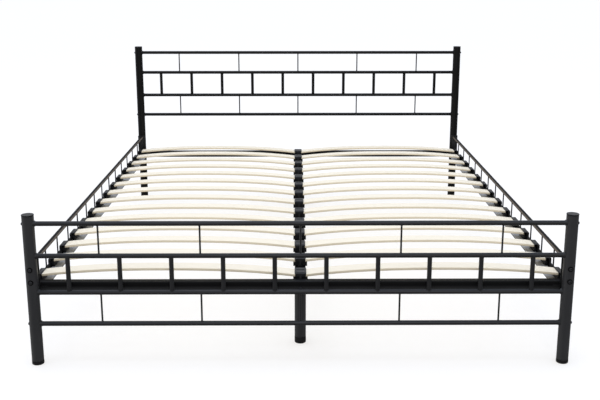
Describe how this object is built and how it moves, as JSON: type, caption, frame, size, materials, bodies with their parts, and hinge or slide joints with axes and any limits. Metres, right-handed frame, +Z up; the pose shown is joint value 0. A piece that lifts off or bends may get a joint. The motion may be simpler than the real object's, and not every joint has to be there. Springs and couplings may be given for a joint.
{
  "type": "bed frame",
  "caption": "Double metal bed frame: round posts, barred head and foot grids, side rails with thin rods, a centre beam and two columns of sprung wooden slats in holders.",
  "frame": {"origin": "on the floor, under the middle of the bed", "axes": "+X to the right across the bed seen from the foot end, +Y along the bed from the foot end to the head end, +Z up"},
  "size_m": [1.6674, 2.1016, 0.794],
  "materials": {
    "black_powder_coat": "satin black powder coat on steel",
    "black_plastic": "moulded black plastic, finely grained",
    "black_zinc": "black-passivated steel fasteners",
    "birch": "pale birch plywood, smooth, with bare ply edges"
  },
  "bodies": {
    "root": {"foot_post_left": "black_powder_coat", "foot_post_cap_left": "black_plastic", "foot_post_pad_left": "black_plastic", "foot_rail_bolts_left": "black_zinc", "foot_post_right": "black_powder_coat", "foot_post_cap_right": "black_plastic", "foot_post_pad_right": "black_plastic", "foot_rail_bolts_right": "black_zinc", "footboard_grid": "black_powder_coat", "foot_cross_rail": "black_powder_coat", "foot_centre_leg": "black_powder_coat", "foot_centre_leg_pad": "black_plastic", "head_post_left": "black_powder_coat", "head_post_cap_left": "black_plastic", "head_post_pad_left": "black_plastic", "head_rail_bolts_left": "black_zinc", "head_post_right": "black_powder_coat", "head_post_cap_right": "black_plastic", "head_post_pad_right": "black_plastic", "head_rail_bolts_right": "black_zinc", "headboard_grid": "black_powder_coat", "head_cross_rail": "black_powder_coat", "head_centre_leg": "black_powder_coat", "head_centre_leg_pad": "black_plastic", "side_rail_left": "black_powder_coat", "side_rail_right": "black_powder_coat", "centre_beam": "black_powder_coat", "slat_left_01": "birch", "slat_left_02": "birch", "slat_left_03": "birch", "slat_left_04": "birch", "slat_left_05": "birch", "slat_left_06": "birch", "slat_left_07": "birch", "slat_left_08": "birch", "slat_left_09": "birch", "slat_left_10": "birch", "slat_left_11": "birch", "slat_left_12": "birch", "slat_left_13": "birch", "slat_left_14": "birch", "slat_right_01": "birch", "slat_right_02": "birch", "slat_right_03": "birch", "slat_right_04": "birch", "slat_right_05": "birch", "slat_right_06": "birch", "slat_right_07": "birch", "slat_right_08": "birch", "slat_right_09": "birch", "slat_right_10": "birch", "slat_right_11": "birch", "slat_right_12": "birch", "slat_right_13": "birch", "slat_right_14": "birch", "slat_holders_left": "black_plastic", "slat_holders_right": "black_plastic", "slat_holders_centre": "black_plastic"}
  },
  "joints": []
}
